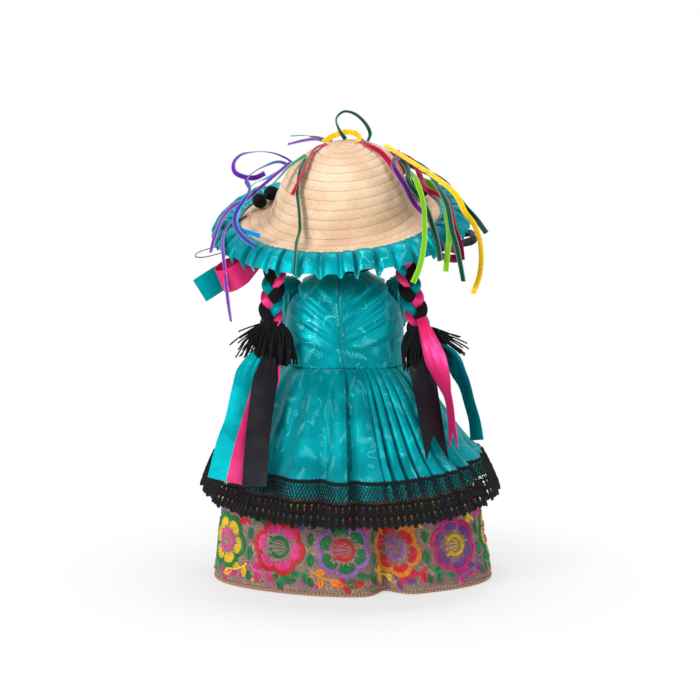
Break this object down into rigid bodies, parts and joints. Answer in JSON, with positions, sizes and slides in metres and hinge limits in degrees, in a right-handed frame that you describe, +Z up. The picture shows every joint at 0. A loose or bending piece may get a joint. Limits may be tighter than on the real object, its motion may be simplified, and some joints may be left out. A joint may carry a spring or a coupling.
{
  "type": "rag doll",
  "caption": "Stuffed cloth doll in a pleated satin dress over a stiff flowered petticoat, with ribbon-laced plaits and a ruffled straw hat trimmed with ribbons",
  "frame": {"origin": "on the floor, at the middle of the box round the doll", "axes": "+Z up; +Y the way the doll faces; +X towards the doll's right hand side as seen from behind"},
  "size_m": [0.2104, 0.2066, 0.327],
  "materials": {
    "skin_cloth": "plain cotton cloth, stuffed",
    "satin_teal": "glossy satin with a woven figure",
    "satin_pink": "glossy satin ribbon",
    "satin_black": "glossy satin ribbon",
    "crochet_black": "crochet lace",
    "flowered_band": "thick machine embroidery on netting",
    "edging_braid": "woven metallic edging",
    "shoe_leather": "smooth black",
    "yarn_black": "wool yarn",
    "straw": "sewn palm-straw braid",
    "ribbon_green": "narrow ribbon with metallic edges",
    "ribbon_purple": "narrow satin ribbon",
    "ribbon_crimson": "narrow satin ribbon",
    "ribbon_yellow": "narrow satin ribbon",
    "ribbon_lime": "narrow satin ribbon",
    "ribbon_blue": "narrow satin ribbon"
  },
  "bodies": {
    "trunk": {"torso": "skin_cloth", "bodice": "satin_teal", "skirt": "satin_teal", "lace_hem": "crochet_black", "petticoat": "flowered_band", "petticoat_braid": "edging_braid"},
    "head": {"head": "skin_cloth", "hair": "yarn_black", "straw_hat": "straw", "hat_ruffle": "satin_teal", "yarn_garland": "yarn_black", "satin_rosette": "satin_pink", "bow_left_pink": "satin_pink", "bow_left_teal": "satin_teal", "bow_left_black": "satin_black", "bow_right_pink": "satin_pink", "bow_right_black": "satin_black", "ribbon_green_loop": "ribbon_green", "ribbon_thin_green": "ribbon_green", "ribbon_forest_right": "ribbon_green", "ribbon_forest_far": "ribbon_green", "ribbon_forest_edge": "ribbon_green", "ribbon_purple_loop": "ribbon_purple", "ribbon_purple_tail": "ribbon_purple", "ribbon_purple_far": "ribbon_purple", "ribbon_violet_right": "ribbon_purple", "ribbon_purple_short": "ribbon_purple", "ribbon_green_short": "ribbon_green", "ribbon_green_metal": "ribbon_green", "ribbon_crimson_left": "ribbon_crimson", "ribbon_crimson_right": "ribbon_crimson", "ribbon_crimson_far": "ribbon_crimson", "ribbon_yellow_top": "ribbon_yellow", "ribbon_yellow_long": "ribbon_yellow", "ribbon_lime_inner": "ribbon_lime", "ribbon_lime_outer": "ribbon_lime", "ribbon_blue": "ribbon_blue", "ribbon_navy": "ribbon_blue"},
    "plait_left": {"plait_left_yarn": "yarn_black", "plait_left_pink": "satin_pink", "plait_left_teal": "satin_teal", "tassel_left": "yarn_black", "tail_left_teal": "satin_teal", "tail_left_pink": "satin_pink", "tail_left_black": "satin_black"},
    "plait_right": {"plait_right_yarn": "yarn_black", "plait_right_pink": "satin_pink", "plait_right_teal": "satin_teal", "tassel_right": "yarn_black", "tail_right_pink": "satin_pink", "tail_right_black": "satin_black", "tail_right_teal": "satin_teal"},
    "arm_left": {"arm_left": "skin_cloth", "sleeve_left": "satin_teal"},
    "arm_right": {"arm_right": "skin_cloth", "sleeve_right": "satin_teal"},
    "leg_left": {"leg_left": "skin_cloth", "shoe_left": "shoe_leather"},
    "leg_right": {"leg_right": "skin_cloth", "shoe_right": "shoe_leather"}
  },
  "joints": [
    {"name": "head_turn", "type": "hinge", "parent": "trunk", "child": "head", "pos_m": [-0.00248, 0, 0.22], "axis": [0, 0, 1], "range_deg": [-12, 12]},
    {"name": "plait_left_swing", "type": "hinge", "parent": "head", "child": "plait_left", "pos_m": [-0.0465, -0.0266, 0.228], "axis": [-1, 0, 0], "range_deg": [0, 35]},
    {"name": "plait_right_swing", "type": "hinge", "parent": "head", "child": "plait_right", "pos_m": [0.0395, -0.0266, 0.228], "axis": [-1, 0, 0], "range_deg": [0, 35]},
    {"name": "shoulder_left", "type": "hinge", "parent": "trunk", "child": "arm_left", "pos_m": [-0.039, 0, 0.203], "axis": [1, 0, 0], "range_deg": [0, 60]},
    {"name": "shoulder_right", "type": "hinge", "parent": "trunk", "child": "arm_right", "pos_m": [0.0358, 0, 0.203], "axis": [1, 0, 0], "range_deg": [0, 60]},
    {"name": "hip_left", "type": "hinge", "parent": "trunk", "child": "leg_left", "pos_m": [-0.01545, 0, 0.1015], "axis": [1, 0, 0], "range_deg": [-12, 12]},
    {"name": "hip_right", "type": "hinge", "parent": "trunk", "child": "leg_right", "pos_m": [0.01855, 0, 0.1015], "axis": [1, 0, 0], "range_deg": [-12, 12]}
  ]
}
